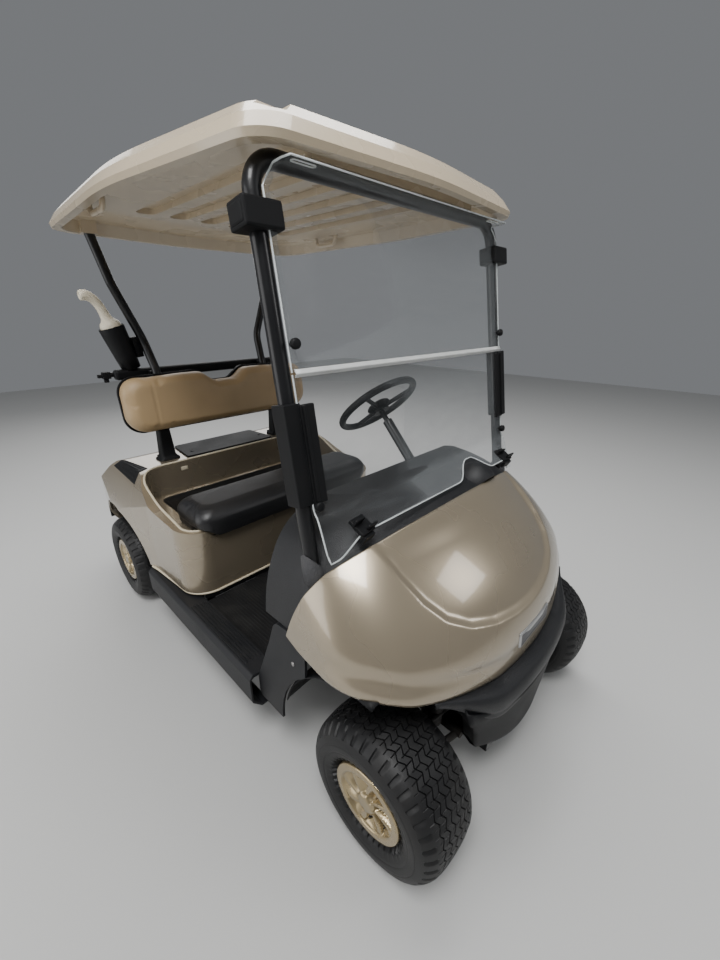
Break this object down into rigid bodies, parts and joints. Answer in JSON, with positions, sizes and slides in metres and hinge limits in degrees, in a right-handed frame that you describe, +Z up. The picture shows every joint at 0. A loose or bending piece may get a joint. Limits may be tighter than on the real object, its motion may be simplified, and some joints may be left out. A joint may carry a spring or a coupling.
{
  "type": "two-seat electric golf cart",
  "caption": "Electric golf cart for two riders, with a moulded roof, clear windscreen, bag well and steered front wheels.",
  "frame": {"origin": "on the ground, under the middle of the cart's overall box", "axes": "+Z up, the nose faces -Y, +X is the driver's side"},
  "size_m": [1.192, 2.3204, 1.79],
  "materials": {
    "battery": "matte",
    "black_frame": "satin",
    "black_vinyl": "grained",
    "cast_parts": "matte",
    "clear_pane": "clear",
    "cream_plastic": "satin",
    "dark_plastic": "textured",
    "grey_plastic": "satin",
    "paint": "metallic",
    "roof_plastic": "gloss",
    "steel_bar": "satin",
    "steel_rim": "satin",
    "tan_vinyl": "grained",
    "tyre": "satin",
    "wheel_cover": "metallic"
  },
  "bodies": {
    "chassis": {"frame": "black_frame", "front_suspension": "cast_parts", "rear_axle": "cast_parts", "rear_springs": "black_frame", "battery_pack": "battery", "floor": "dark_plastic", "rocker_panels": "grey_plastic", "leg_panels": "grey_plastic", "front_cowl": "paint", "dash": "dark_plastic", "front_bumper": "dark_plastic", "pedals": "black_frame", "rear_body": "paint", "bag_well": "dark_plastic", "rear_bumper": "dark_plastic", "deck_panel": "dark_plastic", "seat_cushion": "black_vinyl", "back_cushion": "tan_vinyl", "back_frame": "dark_plastic", "rear_struts": "black_frame", "front_pillars": "black_frame", "roof": "roof_plastic", "windscreen_lower": "clear_pane", "windscreen_upper": "clear_pane", "windscreen_fittings": "dark_plastic", "bag_rail": "black_frame", "bottle_holder": "dark_plastic", "sand_bottle": "cream_plastic", "steering_column": "black_frame"},
    "steering_wheel": {"steering_wheel": "dark_plastic"},
    "tie_rod": {"tie_rod": "steel_bar"},
    "knuckle_left": {"knuckle_left": "cast_parts"},
    "wheel_front_left": {"tyre_front_left": "tyre", "rim_front_left": "steel_rim", "wheel_cover_front_left": "wheel_cover"},
    "wheel_rear_left": {"tyre_rear_left": "tyre", "rim_rear_left": "steel_rim", "wheel_cover_rear_left": "wheel_cover"},
    "knuckle_right": {"knuckle_right": "cast_parts"},
    "wheel_front_right": {"tyre_front_right": "tyre", "rim_front_right": "steel_rim", "wheel_cover_front_right": "wheel_cover"},
    "wheel_rear_right": {"tyre_rear_right": "tyre", "rim_rear_right": "steel_rim", "wheel_cover_rear_right": "wheel_cover"}
  },
  "joints": [
    {"name": "steer_left", "type": "hinge", "parent": "chassis", "child": "knuckle_left", "pos_m": [0.316, -0.936, 0.222], "axis": [0, 0, 1], "range_deg": [-28, 28]},
    {"name": "steer_right", "type": "hinge", "parent": "chassis", "child": "knuckle_right", "pos_m": [-0.316, -0.936, 0.222], "axis": [0, 0, 1], "range_deg": [-28, 28]},
    {"name": "tie_rod_pivot", "type": "hinge", "parent": "knuckle_left", "child": "tie_rod", "pos_m": [0.316, -0.816, 0.16], "axis": [0, 0, 1], "range_deg": [-28, 28]},
    {"name": "steering_turn", "type": "hinge", "parent": "chassis", "child": "steering_wheel", "pos_m": [0.24, -0.259, 1.052], "axis": [0, 0.6756, 0.7373], "range_deg": [-448, 448]},
    {"name": "wheel_spin_front_left", "type": "hinge", "parent": "knuckle_left", "child": "wheel_front_left", "pos_m": [0.45, -0.936, 0.222], "axis": [1, 0, 0], "continuous": true},
    {"name": "wheel_spin_rear_left", "type": "hinge", "parent": "chassis", "child": "wheel_rear_left", "pos_m": [0.489, 0.734, 0.222], "axis": [1, 0, 0], "continuous": true},
    {"name": "wheel_spin_front_right", "type": "hinge", "parent": "knuckle_right", "child": "wheel_front_right", "pos_m": [-0.45, -0.936, 0.222], "axis": [1, 0, 0], "continuous": true},
    {"name": "wheel_spin_rear_right", "type": "hinge", "parent": "chassis", "child": "wheel_rear_right", "pos_m": [-0.489, 0.734, 0.222], "axis": [1, 0, 0], "continuous": true}
  ],
  "couplings": [
    {"joint": "steer_right", "follows": "steer_left", "ratio": 1},
    {"joint": "tie_rod_pivot", "follows": "steer_left", "ratio": -1},
    {"joint": "steering_turn", "follows": "steer_left", "ratio": 16}
  ]
}
